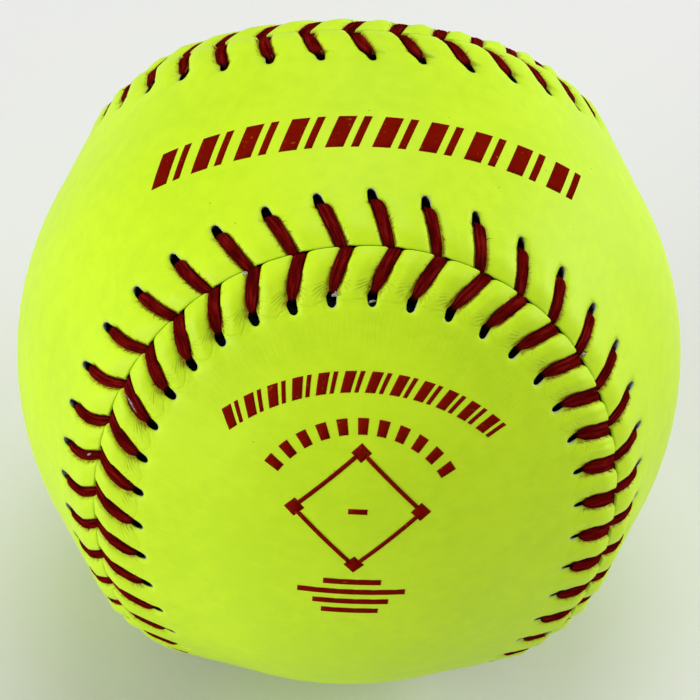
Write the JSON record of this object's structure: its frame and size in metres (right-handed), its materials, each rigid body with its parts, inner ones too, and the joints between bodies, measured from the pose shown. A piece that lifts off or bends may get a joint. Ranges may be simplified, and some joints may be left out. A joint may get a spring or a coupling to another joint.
{
  "type": "softball",
  "caption": "Leather-covered ball sewn from two interlocking figure-eight panels along one raised, curving laced seam, for throwing and batting.",
  "frame": {"origin": "middle of the ball", "axes": "+Z runs through the narrow waist of the upper cover panel, whose two lobes face +X and -X; the lower panel's waist faces -Z and its lobes face +Y and -Y"},
  "size_m": [0.0962, 0.0962, 0.0964],
  "materials": {
    "leather": "smooth, fine-grained, optic yellow, with a soft sheen",
    "thread": "waxed, flattened, dark red",
    "core": "moulded, matt",
    "cement": "brushed on, black, dull"
  },
  "bodies": {
    "root": {"core": "core", "cement_coat": "cement", "upper_cover_panel": "leather", "lower_cover_panel": "leather", "first_lacing_thread": "thread", "second_lacing_thread": "thread"}
  },
  "joints": []
}
